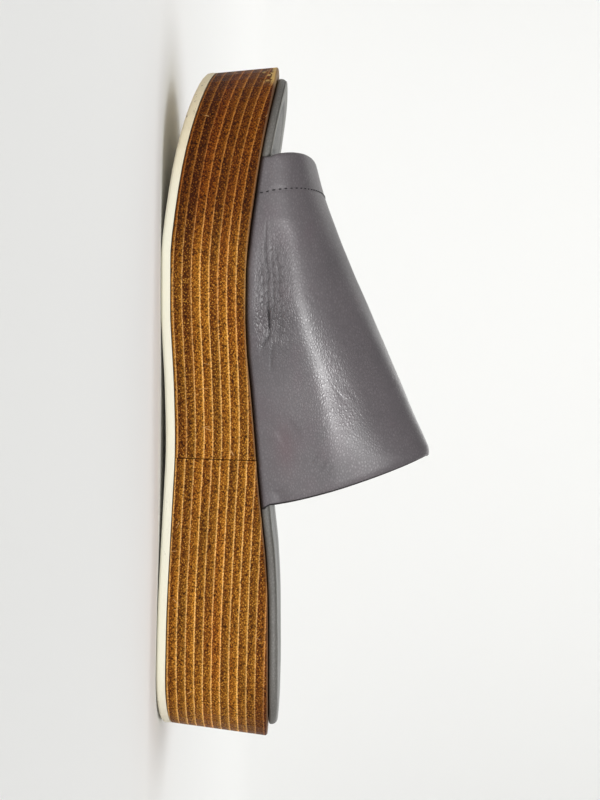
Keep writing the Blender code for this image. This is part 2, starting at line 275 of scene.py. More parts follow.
# place within a layer, and colour there
LAYER_STAIN = (
    (0.00, rgb(226, 174, 108)),
    (0.05, rgb(176, 124, 60)),
    (0.10, rgb(112, 61, 12)),
    (0.40, rgb(122, 72, 15)),
    (0.62, rgb(136, 85, 20)),
    (0.80, rgb(149, 97, 28)),
    (0.88, rgb(164, 112, 42)),
    (0.94, rgb(214, 160, 80)),
    (1.00, rgb(228, 178, 112)),
)
GLUE_LINE = ((0.84, 0.92), (0.10, 0.04))
# stations that the materials' copies of the platform's profile go through
CURVE_STATIONS = (0.0, 0.03, 0.06, 0.1, 0.17, 0.22, 0.28, 0.34, 0.4, 0.46, 0.52, 0.58, 0.63)
CURVE_STATIONS += (0.7, 0.76, 0.82, 0.88, 0.94, 1.0)
CURVE_TOP = 50 * MM
# cells and noises per metre
SLOW_GRAIN = 16
FINE_GRAIN = 220
GRAINS = 1900
SPECKS = 1600
MOTES = 2300
TONES = 26
RED_TONES = 14
NICKS = 330
SCRATCHES = 90
SCRATCH_PATCHES = 150
# how far the glue lines stray with the slow grain, the fine grain and the specks
STRAY = (0.8 * MM, 0.28 * MM, 0.14 * MM)
NICK_DEPTH = 7 * MM
# where each mark begins and is full: along the shoe, down from the top, up from the outsole,
# to the inner side, or in the nicks' noise
TOE_ZONE = (40 * MM, 78 * MM)
HEEL_ZONE = (-85 * MM, -125 * MM)
HEEL_DEPTH = (11 * MM, 1 * MM)
FOOT_EDGE = (5 * MM, 0)
TOP_EDGE = (4 * MM, 0)
OUTSOLE_JOINT = (0.5 * MM, 0.1 * MM)
# depth of the painted highlight on the top edge
EDGE_HIGHLIGHT_DEPTH = (0.6 * MM, 0.2 * MM)
RIM_ZONE = (116.5 * MM, 120 * MM)
RIM_DEPTH = (1.9 * MM, 1.5 * MM)
RIM_SIDE = (0, 12 * MM)
FLECK_ZONE = (117.5 * MM, 120.5 * MM)
FLECK_DEPTH = (7 * MM, 3 * MM)
FLECK_NICKS = (0.59, 0.61)
RED_LAYER = (0.45, rgb(232, 184, 168))
PALE_DOT = (0.80, rgb(236, 178, 74))
DARK_PIT = (0.82, rgb(74, 24, 0))
TOE_TINT = (0.92, rgb(178, 148, 112))
HEEL_TINT = (0.75, rgb(150, 110, 96))
# painted shade along the wood's foot and top edges
EDGE_SHADE = (0.6, rgb(190, 176, 168))
JOINT_TINT = (0.8, rgb(40, 20, 8))
SCRATCH_TINT = (0.75, rgb(216, 164, 104))
# a painted highlight along the wood's top edge
EDGE_HIGHLIGHT = rgb(148, 114, 84)
RAW_WOOD = (rgb(178, 130, 58), rgb(244, 210, 132))

# Rubber
CREAM = (rgb(252, 249, 224), rgb(255, 253, 238))
YELLOW_TOE = (0.75, rgb(226, 206, 164))
YELLOW_TOE_ZONE = (55 * MM, 115 * MM)
YELLOW_HEEL = (0.5, rgb(240, 226, 200))
YELLOW_HEEL_ZONE = (-90 * MM, -125 * MM)
DIRT = rgb(112, 104, 92)
SOILED = rgb(170, 158, 130)
SOILED_HEIGHT = (1.2 * MM, 0.1 * MM)

# Stage and light: place, aim, size and watts of each light
STAGE_COLOUR = rgb(240, 240, 238)
AMBIENT = 0.15
SEEN_GROUND = 0.88
LIGHTS = {
    "key": ((-0.19, 0.95, 0.65), (0, 0, 0.05), (0.16, 0.12), 6.0),
    "front_fill": ((0.10, 1.35, 0.18), (0, 0, 0.04), (1.5, 1.1), 5.6),
    "rear_fill": ((-0.3, -1.3, 0.55), (0, 0, 0.04), (1.2, 0.8), 3.0),
    "backdrop_light": ((0.25, -0.5, 1.3), (0.25, -1.4, 0.3), (2.4, 0.8), 15.5),
    "floor_light": ((0, 0.5, 1.4), (0, 0.2, 0), (2.0, 1.4), 14.0),
}
STAGE_ONLY = ("backdrop_light", "floor_light")
SHOE_ONLY = ("key", "rear_fill")


def row_value(table, column, at):
    """A column of a table at any place between its rows, on a smooth curve without overshoot."""
    places = [row[0] for row in table]
    values = [row[column] for row in table]
    if at <= places[0]:
        return values[0]
    if at >= places[-1]:
        return values[-1]
    i = max(k for k in range(len(places) - 1) if places[k] <= at)
    step = places[i + 1] - places[i]
    rise = (values[i + 1] - values[i]) / step

    def tangent(k):
        if k == 0 or k == len(places) - 1:
            return rise
        before = (values[k] - values[k - 1]) / (places[k] - places[k - 1])
        after = (values[k + 1] - values[k]) / (places[k + 1] - places[k])
        if before * after <= 0:
            return 0.0
        return 2 * before * after / (before + after)

    t = (at - places[i]) / step
    start = (1 + 2 * t) * (1 - t) ** 2 * values[i] + t * (1 - t) ** 2 * step * tangent(i)
    end = t * t * (3 - 2 * t) * values[i + 1] + t * t * (t - 1) * step * tangent(i + 1)
    return start + end


def mix(a, b, t):
    return a + (b - a) * t


def smooth(low, high, value):
    t = min(max((value - low) / (high - low), 0.0), 1.0)
    return t * t * (3 - 2 * t)


def station(x):
    return min(max(x / SOLE_LENGTH, 0.0), 1.0)


def cap_share(distance, length):
    if distance >= length:
        return 1.0
    return math.sqrt(max(0.0, 1 - (1 - distance / length) ** 2))


def plan_y(x, side):
    s = station(x)
    width = mix(HEEL_WIDTH, BALL_WIDTH, row_value(PLAN, 1, s))
    half = width * row_value(PLAN, 2 if side > 0 else 3, s)
    if x < HEEL_CAP:
        return side * half * cap_share(x, HEEL_CAP)
    cap = MEDIAL_TOE_CAP if side > 0 else LATERAL_TOE_CAP
    share = cap_share(SOLE_LENGTH - x, cap)
    return mix(TIP_OFFSET, side * half, share) if share < 1 else side * half


def seat_z(x):
    s = station(x)
    heel = row_value(SEAT, 1, s) * (HEEL_HEIGHT - BALL_HEIGHT)
    return BALL_HEIGHT + heel + row_value(SEAT, 2, s) * TOE_LIFT


def outline(heel_steps, body_steps, toe_steps):
    """The platform's top edge, in even steps along its straighter part and round its ends."""
    xs = [HEEL_CAP * (1 - math.cos(math.pi / 2 * i / heel_steps)) for i in range(heel_steps)]
    toe_start = SOLE_LENGTH - LATERAL_TOE_CAP
    xs += [mix(HEEL_CAP, toe_start, i / body_steps) for i in range(body_steps)]
    turn = [math.sin(math.pi / 2 * i / toe_steps) for i in range(toe_steps + 1)]
    xs += [toe_start + LATERAL_TOE_CAP * t for t in turn]
    medial = [Vector((x, plan_y(x, 1))) for x in xs]
    lateral = [Vector((x, plan_y(x, -1))) for x in reversed(xs[1:-1])]
    return medial + lateral


def inward(points):
    directions = []
    for i, point in enumerate(points):
        along = points[(i + 1) % len(points)] - points[i - 1]
        directions.append(Vector((along.y, -along.x)).normalized())
    return directions


def frame_shift():
    """From heel coordinates to the part's frame: the platform's top edge is centred."""
    ys = [p.y for p in outline(*PART_STEPS)]
    return Vector((-SOLE_LENGTH / 2, -(min(ys) + max(ys)) / 2, 0))


SHIFT = frame_shift()


def to_frame(point):
    return point + SHIFT


# Node graphs
class Graph:
    """A short way to write a material's nodes: each call returns the new node's output."""

    def __init__(self, name):
        self.material = bpy.data.materials.new(name)
        self.material.use_nodes = True
        self.tree = self.material.node_tree
        self.shader = self.tree.nodes["Principled BSDF"]

    def put(self, socket, value):
        if isinstance(value, bpy.types.NodeSocket):
            self.tree.links.new(value, socket)
        else:
            socket.default_value = value

    def node(self, kind, out=0, settings=(), **inputs):
        made = self.tree.nodes.new(kind)
        for key, value in dict(settings).items():
            setattr(made, key, value)
        for key, value in inputs.items():
            self.put(made.inputs[key.replace("_", " ")], value)
        return made.outputs[out]

    def math(self, operation, *values, clamp=False):
        made = self.tree.nodes.new("ShaderNodeMath")
        made.operation = operation
        made.use_clamp = clamp
        for socket, value in zip(made.inputs, values):
            self.put(socket, value)
        return made.outputs[0]

    def add(self, a, b):
        return self.math("ADD", a, b)

    def times(self, value, *others):
        for other in others:
            value = self.math("MULTIPLY", value, other)
        return value

    def minus(self, a, b):
        return self.math("SUBTRACT", a, b)

    def swing(self, value, size):
        """A noise as a swing about 0, of a given size."""
        return self.times(self.minus(value, 0.5), size)

    def step(self, value, low, high):
        """0 below low, 1 above high, smooth between; reversed if high is below low."""
        made = self.tree.nodes.new("ShaderNodeMapRange")
        made.interpolation_type = "SMOOTHSTEP"
        ends = (low, high, 0.0, 1.0) if low < high else (high, low, 1.0, 0.0)
        self.put(made.inputs[0], value)
        for socket, end in zip(list(made.inputs)[1:5], ends):
            self.put(socket, end)
        return made.outputs[0]

    def span(self, value, low, high, to_low, to_high):
        made = self.tree.nodes.new("ShaderNodeMapRange")
        for socket, end in zip(made.inputs, (value, low, high, to_low, to_high)):
            self.put(socket, end)
        return made.outputs[0]

    def blend(self, factor, a, b, how="MIX"):
        made = self.tree.nodes.new("ShaderNodeMix")
        made.data_type = "RGBA"
        made.blend_type = how
        self.put(made.inputs[0], factor)
        self.put(made.inputs[6], a)
        self.put(made.inputs[7], b)
        return made.outputs[2]

    def tinted(self, colour, where, tint, how="MIX"):
        cover, tone = tint
        return self.blend(self.times(where, cover), colour, tone, how)

    def place(self):
        return self.node("ShaderNodeTexCoord", 3)

    def scaled(self, vector, x, y, z):
        made = self.tree.nodes.new("ShaderNodeVectorMath")
        made.operation = "MULTIPLY"
        self.put(made.inputs[0], vector)
        made.inputs[1].default_value = (x, y, z)
        return made.outputs[0]

    def moved(self, vector, by):
        made = self.tree.nodes.new("ShaderNodeVectorMath")
        self.put(made.inputs[0], vector)
        self.put(made.inputs[1], by)
        return made.outputs[0]

    def shaded(self, colour, factor):
        """A colour times a number, which may lie above 1."""
        made = self.tree.nodes.new("ShaderNodeVectorMath")
        made.operation = "SCALE"
        self.put(made.inputs[0], colour)
        self.put(made.inputs["Scale"], factor)
        return made.outputs[0]

    def xyz(self, vector):
        made = self.tree.nodes.new("ShaderNodeSeparateXYZ")
        self.put(made.inputs[0], vector)
        return made.outputs

    def vector(self, x=0.0, y=0.0, z=0.0):
        return self.node("ShaderNodeCombineXYZ", X=x, Y=y, Z=z)

    def noise(self, vector, scale, detail=2.0, roughness=0.5):
        return self.node(
            "ShaderNodeTexNoise", Vector=vector, Scale=scale, Detail=detail, Roughness=roughness
        )

    def cells(self, vector, scale, feature="F1"):
        return self.node(
            "ShaderNodeTexVoronoi", 0, {"feature": feature}, Vector=vector, Scale=scale
        )

    def attribute(self, name):
        return self.node("ShaderNodeAttribute", 2, {"attribute_name": name})

    def random(self, value):
        return self.node("ShaderNodeTexWhiteNoise", 0, {"noise_dimensions": "1D"}, W=value)

    def curve(self, value, points):
        """A smooth curve through points whose values are between 0 and 1."""
        made = self.tree.nodes.new("ShaderNodeFloatCurve")
        line = made.mapping.curves[0]
        line.points[0].location = points[0]
        line.points[1].location = points[-1]
        for x, y in points[1:-1]:
            line.points.new(x, y)
        made.mapping.update()
        self.put(made.inputs["Value"], value)
        return made.outputs[0]

    def ramp(self, value, stops):
        made = self.tree.nodes.new("ShaderNodeValToRGB")
        line = made.color_ramp
        while len(line.elements) < len(stops):
            line.elements.new(0.5)
        for element, (place, colour) in zip(line.elements, stops):
            element.position = place
            element.color = colour
        self.put(made.inputs[0], value)
        return made.outputs[0]

    def bump(self, height, distance, normal=None):
        made = self.tree.nodes.new("ShaderNodeBump")
        made.inputs["Strength"].default_value = 1.0
        made.inputs["Distance"].default_value = distance
        self.put(made.inputs["Height"], height)
        if normal is not None:
            self.put(made.inputs["Normal"], normal)
        return made.outputs[0]

    def finish(self, **inputs):
        for key, value in inputs.items():
            self.put(self.shader.inputs[key.replace("_", " ")], value)
        return self.material


def profile_curve(g, x, height):
    """height(x) of the platform, for a frame x in a material."""
    points = [(s, height(s * SOLE_LENGTH) / CURVE_TOP) for s in CURVE_STATIONS]
    share = g.span(x, SHIFT.x, SHIFT.x + SOLE_LENGTH, 0.0, 1.0)
    return g.times(g.curve(share, points), CURVE_TOP)


def layer_z(x):
    """The outsole's underside, which the wood's layers follow."""
    s = station(x)
    return row_value(UNDERSIDE, 1, s) * TOE_SPRING + row_value(UNDERSIDE, 2, s) * ARCH_RISE


class Wood(Graph):
    """Stained stacked layers parallel to the outsole: each darkens just past its pale glue line
    and grows lighter towards the next one."""

    def __init__(self, name, first_line, seed):
        super().__init__(name)
        self.seed = seed
        place = self.place()
        self.x, self.y, z = self.xyz(place)
        above_floor = self.minus(z, profile_curve(self, self.x, layer_z))
        self.height = self.minus(above_floor, OUTSOLE_THICKNESS)
        self.depth = self.minus(profile_curve(self, self.x, seat_z), z)
        self.seeded = self.moved(place, (seed, seed * 1.7, seed * 0.3))

        self.slow = self.noise(self.scaled(self.seeded, 1, 1, 3.0), SLOW_GRAIN)
        fine = self.noise(self.scaled(self.seeded, 1, 1, 2.0), FINE_GRAIN)
        self.grains = self.noise(self.scaled(self.seeded, 0.8, 1, 1), GRAINS, 2.0, 0.7)
        self.specks = self.cells(self.scaled(self.seeded, 0.85, 1, 1), SPECKS)
        self.motes = self.cells(self.seeded, MOTES)
        line_height = self.height
        for pattern, reach in zip((self.slow, fine, self.specks), STRAY):
            line_height = self.add(line_height, self.swing(pattern, reach))
        count = self.times(self.minus(line_height, first_line), 1 / LAYER)
        self.layer = self.math("FLOOR", count)
        self.share = self.math("FRACT", count)

    def stained(self):
        """The layers, each with its own lighter, darker and redder stretches."""
        along = self.vector(self.x, self.times(self.layer, 0.37), self.seed)
        own = self.times(self.random(self.add(self.layer, self.seed)), 0.45)
        tone = self.add(own, self.times(self.noise(along, TONES, 3.0, 0.6), 0.9))
        stain = self.ramp(self.share, LAYER_STAIN)
        colour = self.shaded(stain, self.span(tone, 0.38, 0.98, 0.64, 1.38))
        red = self.step(self.noise(along, RED_TONES), 0.50, 0.66)
        return self.tinted(colour, red, RED_LAYER, "MULTIPLY")

    def speckled(self, colour):
        """Light and dark specks all over, fewer on the glue lines."""
        before, after = GLUE_LINE
        line = self.math("MAXIMUM", self.step(self.share, *before), self.step(self.share, *after))
        speckle = self.add(
            self.span(self.specks, 0.1, 0.95, 1.0, -1.0),
            self.span(self.motes, 0.1, 0.95, 0.8, -0.8),
        )
        speckle = self.times(speckle, self.span(line, 0, 1, 1, 0.6))
        colour = self.shaded(colour, self.span(speckle, -1.2, 1.2, 0.06, 2.0))
        free = self.span(line, 0, 1, 1, 0.35)
        dots = self.times(self.step(self.specks, 0.42, 0.12), self.step(self.grains, 0.40, 0.56))
        colour = self.tinted(colour, self.times(dots, free), PALE_DOT)
        pits = self.times(self.step(self.motes, 0.52, 0.80), self.step(self.grains, 0.56, 0.42))
        return self.tinted(colour, self.times(pits, free), DARK_PIT)

    def darkened_with_edge_shade(self, colour):
        """Darker at the toe and the heel's corner, with painted shade along both edges, and a
        dark joint with the outsole.
        """
        colour = self.tinted(colour, self.step(self.x, *TOE_ZONE), TOE_TINT, "MULTIPLY")
        corner = self.times(self.step(self.x, *HEEL_ZONE), self.step(self.depth, *HEEL_DEPTH))
        colour = self.tinted(colour, corner, HEEL_TINT, "MULTIPLY")
        # painted shade near the outsole and, weaker, near the top edge
        top = self.times(self.step(self.depth, *TOP_EDGE), 0.6)
        edges = self.math("MAXIMUM", self.step(self.height, *FOOT_EDGE), top)
        colour = self.tinted(colour, edges, EDGE_SHADE, "MULTIPLY")
        return self.tinted(colour, self.step(self.height, *OUTSOLE_JOINT), JOINT_TINT)

    def chips(self):
        """Where the wood is bare: along the toe's inner top edge, and in flecks beside it."""
        nicks = self.noise(self.seeded, NICKS, 3.0, 0.6)
        nicked_depth = self.add(self.depth, self.swing(nicks, NICK_DEPTH))
        rim = self.times(
            self.step(self.x, *RIM_ZONE),
            self.step(nicked_depth, *RIM_DEPTH),
            self.step(self.y, *RIM_SIDE),
        )
        flecks = self.times(
            self.step(self.x, *FLECK_ZONE),
            self.step(self.depth, *FLECK_DEPTH),
            self.step(nicks, *FLECK_NICKS),
        )
        return self.math("MAXIMUM", rim, flecks, clamp=True)

    def lit_edge_and_scratches(self, colour):
        """A painted highlight along the top edge, patchy with the slow grain, and a few short
        scratches.
        """
        # painted highlight along the top edge, patchy with the slow grain
        lit_edge = self.span(self.slow, 0.35, 0.65, 0.35, 0.85)
        lit_edge = self.times(self.step(self.depth, *EDGE_HIGHLIGHT_DEPTH), lit_edge)
        colour = self.blend(lit_edge, colour, EDGE_HIGHLIGHT)
        lines = self.scaled(self.seeded, 1, 1, 0.45)
        lines = self.step(self.cells(lines, SCRATCHES, "DISTANCE_TO_EDGE"), 0.012, 0.004)
        patches = self.step(self.noise(self.seeded, SCRATCH_PATCHES), 0.66, 0.70)
        return self.tinted(colour, self.times(lines, patches), SCRATCH_TINT)


def wood(name, first_line, seed):
    g = Wood(name, first_line, seed)
    chips = g.chips()
    colour = g.darkened_with_edge_shade(g.speckled(g.stained()))
    colour = g.blend(chips, colour, g.blend(g.grains, *RAW_WOOD))
    relief = g.add(g.times(g.grains, 0.4), g.times(g.specks, 0.25))
    return g.finish(
        Base_Color=g.lit_edge_and_scratches(colour),
        Roughness=g.span(g.grains, 0.3, 0.7, 0.48, 0.62),
        Specular_IOR_Level=0.1,
        Normal=g.bump(g.minus(relief, g.times(chips, 2.5)), 0.10 * MM),
    )


def rubber():
    """Cream rubber with yellowing at both ends, dark specks and a fine texture."""
    g = Graph("cream_rubber")
    place = g.place()
    x, _, z = g.xyz(place)
    soft = g.noise(place, 30.0, 3.0)
    colour = g.blend(soft, *CREAM)
    colour = g.tinted(colour, g.step(x, *YELLOW_TOE_ZONE), YELLOW_TOE)
    colour = g.tinted(colour, g.step(x, *YELLOW_HEEL_ZONE), YELLOW_HEEL)
    specks = g.times(
        g.step(g.noise(g.scaled(place, 0.5, 1, 1), 900.0, 3.0, 0.7), 0.60, 0.70),
        g.step(g.noise(place, 55.0), 0.52, 0.66),
        g.span(x, -0.12, 0.12, 0.25, 0.9),
    )
    colour = g.blend(specks, colour, DIRT)
    under = g.times(g.step(z, *SOILED_HEIGHT), g.span(soft, 0.3, 0.7, 0.2, 0.55))
    colour = g.blend(under, colour, SOILED)
    relief = g.noise(place, 1500.0)
    return g.finish(Base_Color=colour, Roughness=0.62, Normal=g.bump(relief, 0.05 * MM))


def cracked(g, place, relief, colour):
    """Fine wrinkles where the mesh is crumpled: long ones, and a fan of slanted ones, both
    darkened with painted shade.
    """
    crumple = g.attribute("crumple")
    slant = g.node("ShaderNodeMapping", Vector=place, Rotation=(0.0, 0.5, 0.0))
    cracks = g.cells(g.scaled(place, 0.32, 1, 1), CRACKS, "DISTANCE_TO_EDGE")
    fan = g.cells(g.scaled(slant, 0.30, 1, 1), FAN, "DISTANCE_TO_EDGE")
    cracks = g.times(g.step(cracks, 0.16, 0.0), crumple)
    fan = g.times(g.step(fan, 0.14, 0.0), crumple)
    relief = g.minus(relief, g.add(g.times(cracks, 0.070), g.times(fan, 0.035)))
    # painted shade in the wrinkles
    dark = g.add(g.times(cracks, 0.26), g.times(fan, 0.12))
    return relief, g.shaded(colour, g.minus(1.0, dark))


def leather(kind):
    """Smooth leather with a pebble grain, its furrows darkened with painted shade, and a mottled
    colour. The upper's is creased, with painted shade in its creases, wrinkles and foot; the
    insole's has a lighter cover, lit further toward the toe with painted light, and a seam with
    painted shade in its groove."""
    base, shade, tint, gloss = LEATHERS[kind]
    g = Graph(f"{kind}_leather")
    place = g.place()
    cloud = g.noise(place, 34.0, 3.0, 0.55)
    colour = g.blend(g.step(cloud, 0.34, 0.68), base, shade)
    warm = g.step(g.noise(g.scaled(place, 1, 1, 1.4), 55.0), 0.52, 0.72)
    colour = g.tinted(colour, warm, (WARM, tint))

    bend = g.noise(place, 260.0)
    swayed = g.moved(place, g.vector(*[g.times(bend, reach) for reach in SWAY]))
    pebbles = g.cells(g.scaled(swayed, 0.72, 1, 1), PEBBLES, "DISTANCE_TO_EDGE")
    pebbles = g.step(pebbles, 0.0, 0.42)
    swell = g.noise(swayed, SWELL, 1.0)
    pores = g.noise(place, PORES, 1.0)
    # darker pebble edges are painted shade in the grain's furrows; the pores vary the colour
    grain = g.add(g.span(pebbles, 0, 1, 0.80, 1.05), g.span(pores, 0.3, 0.7, -0.06, 0.06))
    colour = g.shaded(colour, grain)
    relief = g.add(g.times(pebbles, 0.022), g.add(g.times(swell, 0.016), g.times(pores, 0.006)))
    rough = g.span(pebbles, 0, 1, gloss + 0.06, gloss)
    rough = g.add(g.span(cloud, 0.3, 0.7, -0.03, 0.03), rough)

    if kind == "upper":
        relief, colour = cracked(g, swayed, relief, colour)
        # painted shade in the narrow creases and at the band's foot, then a real smudge
        colour = g.tinted(colour, g.attribute("crease_shade"), CREASE_SHADE)
        colour = g.tinted(colour, g.attribute("foot_shade"), FOOT_SHADE)
        colour = g.tinted(colour, g.attribute("smudge"), SMUDGE_TINT)
        x = g.xyz(place)[0]
        for start, full, amount in (DULL_FRONT, DULL_BACK):
            rough = g.add(rough, g.times(g.step(x, start, full), amount))
    elif kind == "insole":
        # the cover's paler tint, lighter toward the toe as painted light
        colour = g.tinted(colour, g.attribute("cover"), PALE_COVER_AND_TOE_LIGHT)
        # painted shade in the seam's groove
        colour = g.tinted(colour, g.attribute("seam"), SEAM_GROOVE_SHADE)
    return g.finish(Base_Color=colour, Roughness=rough, Normal=g.bump(relief, MM))


def plain(name, colour, roughness, scale=900.0):
    """One colour with a darker grain, for small plain things."""
    g = Graph(name)
    grain = g.noise(g.place(), scale, 3.0, 0.6)
    darker = [0.72 * c for c in colour[:3]] + [1.0]
    return g.finish(
        Base_Color=g.blend(grain, darker, colour),
        Roughness=roughness,
        Normal=g.bump(grain, 0.08 * MM),
    )


def make_object(name, bm, materials):
    mesh = bpy.data.meshes.new(name)
    bm.to_mesh(mesh)
    bm.free()
    mesh.shade_smooth()
    for material in materials:
        mesh.materials.append(material)
    obj = bpy.data.objects.new(name, mesh)
    bpy.context.scene.collection.objects.link(obj)
    return obj


# The band
def end_x(end, side, turn, foot_share):
    medial, ridge, lateral, bow = UPPER_ENDS[end]
    foot = medial if side > 0 else lateral
    tab = HEEL_TAB * (1 - foot_share) if end == "back" else 0.0
    return SOLE_LENGTH * mix(foot, ridge, math.sin(turn) ** bow) - tab


def band_outer(x, side, turn, foot_share):
    """A point of the band's outer face, as the part's source has it."""
    front, back = SOLE_LENGTH * UPPER_ENDS["front"][1], SOLE_LENGTH * UPPER_ENDS["back"][1]
    along = (front - x) / (front - back)
    inset = INSOLE_MARGIN - SEAM - UPPER_WALL
    edge = plan_y(x, side) - side * inset
    opposite = plan_y(x, -side) + side * inset
    ridge = (edge + opposite) / 2 + RIDGE_SHIFT * row_value(RIDGE, 2, along)
    height = mix(TOE_OPENING_HEIGHT, INSTEP_HEIGHT, row_value(RIDGE, 1, along))
    base = seat_z(x) + SEAM
    if foot_share < 1:
        tuck = OUTER_TUCK * UPPER_WALL * max(0.0, 1 - foot_share / TUCK_TOP) ** 2
        return Vector((x, edge - side * tuck, base + foot_share * INSOLE_THICKNESS))
    fullness = row_value(RIDGE, 3 if side > 0 else 4, along)
    reach = math.cos(turn) * (1 + fullness * math.sin(turn) ** 2)
    rise = INSOLE_THICKNESS + (height - SEAM - INSOLE_THICKNESS) * math.sin(turn)
    return Vector((x, mix(ridge, edge, reach), base + rise))


def band_rows():
    foot = [(0.0, i / FOOT_STEPS) for i in range(FOOT_STEPS)]
    shares = [(i / ARCH_STEPS) ** ARCH_CROWDING for i in range(ARCH_STEPS + 1)]
    arch = [(math.pi / 2 * share, 1.0) for share in shares]
    up = [(1, turn, share) for turn, share in foot + arch]
    down = [(-1, turn, share) for turn, share in reversed(foot + arch[:-1])]
    return up + down


def column_shares():
    """Shares of the way from the front edge to the back edge, closer at both edges."""
    last = EDGE_SHARES[-1]
    inner = [mix(last, 1 - last, i / COLUMNS) for i in range(1, COLUMNS)]
    return [*EDGE_SHARES, *inner, *(1 - share for share in reversed(EDGE_SHARES))]


def to_line(place, points):
    """Distance from a place to a line of points, and the nearest point's share of the way."""
    best, share = 1.0, 0.0
    for i, (start, end) in enumerate(zip(points, points[1:])):
        line = end - start
        t = min(max((place - start).dot(line) / line.length_squared, 0.0), 1.0)
        distance = (place - start - line * t).length
        if distance < best:
            best, share = distance, (i + t) / (len(points) - 1)
    return best, share


def crease_lines():
    lines = []
    for depth, width, points in CREASES:
        spots = [Vector((s * SOLE_LENGTH, up * MM)) for s, up in points]
        lines.append((depth * MM, width * MM, spots))
    return lines


CREASE_LINES = crease_lines()


def crease_relief(x, up):
    """Depth of the creases at x from the heel and up the side, and how much painted shade a
    narrow one puts on the leather."""
    place = Vector((x, up))
    relief = crease_shade = 0.0
    for depth, width, spots in CREASE_LINES:
        reach = 3 * width
        if not min(p.x for p in spots) - reach < x < max(p.x for p in spots) + reach:
            continue
        if not min(p.y for p in spots) - reach < up < max(p.y for p in spots) + reach:
            continue
        distance, share = to_line(place, spots)
        taper = smooth(-0.05, 0.2, share) * (1 - smooth(0.8, 1.05, share))
        dip = depth * taper * math.exp(-((distance / width) ** 2))
        relief -= dip
        if width < NARROW:
            crease_shade += dip / FULL_CREASE_SHADE
    return relief, min(crease_shade, 1.0)


def side_relief(x, up, side):
    strength = 1.0
    if side < 0:
        strength, shift = LATERAL_CREASES
        x += shift * SOLE_LENGTH
    relief, crease_shade = crease_relief(x, up)
    return strength * relief, strength * crease_shade


def soft_relief(point, front_gap, back_gap):
    """Slow unevenness of the leather, the thread's groove and the hem's soft roll."""
    slow = sum(noise.noise(point * waves) * height for waves, height in SLOW_WAVES)
    slow *= smooth(0, 12 * MM, back_gap) * 0.6 + 0.4
    depth, width = THREAD_GROOVE
    groove = -depth * math.exp(-(((front_gap - THREAD_LINE) / width) ** 2))
    hem = smooth(0.0, 4 * MM, front_gap) * smooth(THREAD_LINE, THREAD_LINE - 3 * MM, front_gap)
    return slow + groove + HEM_BULGE * hem


def band_wall(rise, front_gap):
    """The wall's thickness, with the folded hem's step."""
    hem = smooth(HEM_LENGTH + HEM_BLEND, HEM_LENGTH - HEM_BLEND, front_gap)
    return mix(UPPER_WALL, HEM_WALL, min(1.0, rise / 0.3) * hem)


def edge_bend(wall, front_gap, back_gap):
    """How far each face draws in where the front and back edges are rounded."""
    radius = wall / 2 if front_gap < back_gap else EDGE_RADIUS
    into = max(0.0, radius - min(front_gap, back_gap))
    return radius - math.sqrt(max(0.0, radius**2 - into**2))


def edge_roll(rise, back_gap):
    """How far the back edge turns in, most at the crown."""
    return (EDGE_ROLL + CROWN_ROLL * rise**6) * smooth(ROLL_LENGTH, 0, back_gap) ** 2


def grid_normals(grid):
    rows, columns = len(grid), len(grid[0])
    normals = []
    for r in range(rows):
        line = []
        for c in range(columns):
            across = grid[min(r + 1, rows - 1)][c] - grid[max(r - 1, 0)][c]
            ahead = grid[r][min(c + 1, columns - 1)] - grid[r][max(c - 1, 0)]
            line.append(ahead.cross(across).normalized())
        normals.append(line)
    return normals


def band_surfaces():
    """Outer and inner grids of the band, with each outer point's height up its side, its gaps to
    the front and back edges, and how much painted shade a crease puts on it."""
    rows, shares = band_rows(), column_shares()
    smooth_grid, gaps = [], []
    for side, turn, share in rows:
        front, back = end_x("front", side, turn, share), end_x("back", side, turn, share)
        xs = [mix(front, back, s) for s in shares]
        smooth_grid.append([band_outer(x, side, turn, share) for x in xs])
        gaps.append([(front - x, x - back) for x in xs])
    normals = grid_normals(smooth_grid)
    ups = []
    steps = [[(b - a).length for a, b in zip(*pair)] for pair in zip(smooth_grid, smooth_grid[1:])]
    crown = len(rows) // 2
    for r in range(len(rows)):
        walked = steps[:r] if r <= crown else steps[r:]
        ups.append([sum(step[c] for step in walked) for c in range(len(shares))])
    outer, inner, crease_shades = [], [], [[] for _ in rows]
    for r, (side, turn, share) in enumerate(rows):
        out_line, in_line = [], []
        rise = math.sin(turn) if share == 1 else 0.0
        free = smooth(0.0, 0.08, rise)
        for c, point in enumerate(smooth_grid[r]):
            front_gap, back_gap = gaps[r][c]
            relief = soft_relief(point, front_gap, back_gap) * mix(0.25, 1, free)
            creases, crease_shade = side_relief(point.x, ups[r][c], side)
            relief += creases
            crease_shades[r].append(crease_shade)
            wall = band_wall(rise, front_gap)
            bend = edge_bend(wall, front_gap, back_gap)
            roll = edge_roll(rise, back_gap) * mix(0.25, 1, free)
            out_line.append(point + normals[r][c] * (relief - roll - bend))
            if share < 1:
                tuck = INNER_TUCK * INSOLE_THICKNESS / 2 * max(0.0, 1 - 2 * share) ** 2
                edge = plan_y(point.x, side) - side * (INSOLE_MARGIN - SEAM + tuck)
                in_line.append(Vector((point.x, edge, point.z)))
            else:
                in_line.append(point - normals[r][c] * (wall + roll - bend))
        outer.append(out_line)
        inner.append(in_line)
    return rows, outer, inner, ups, gaps, crease_shades


def plateau(value, start, full, leave, end):
    return smooth(start, full, value) * (1 - smooth(leave, end, value))


def crumple_mask(x, up):
    """Where the leather shows fine wrinkles: beside the foot's long crease, and a little
    over the instep."""
    s = x / SOLE_LENGTH
    bulge = plateau(s, *BULGE_ALONG) * plateau(up, *BULGE_UP)
    instep = plateau(s, *INSTEP_ALONG) * plateau(up, *INSTEP_UP)
    return min(1.0, bulge + INSTEP_SHARE * instep)


def smudge_mask(x, up):
    along = (x / SOLE_LENGTH - SMUDGE[0]) / SMUDGE_REACH[0]
    above = (up - SMUDGE[1]) / SMUDGE_REACH[1]
    return math.exp(-(along**2) - above**2)


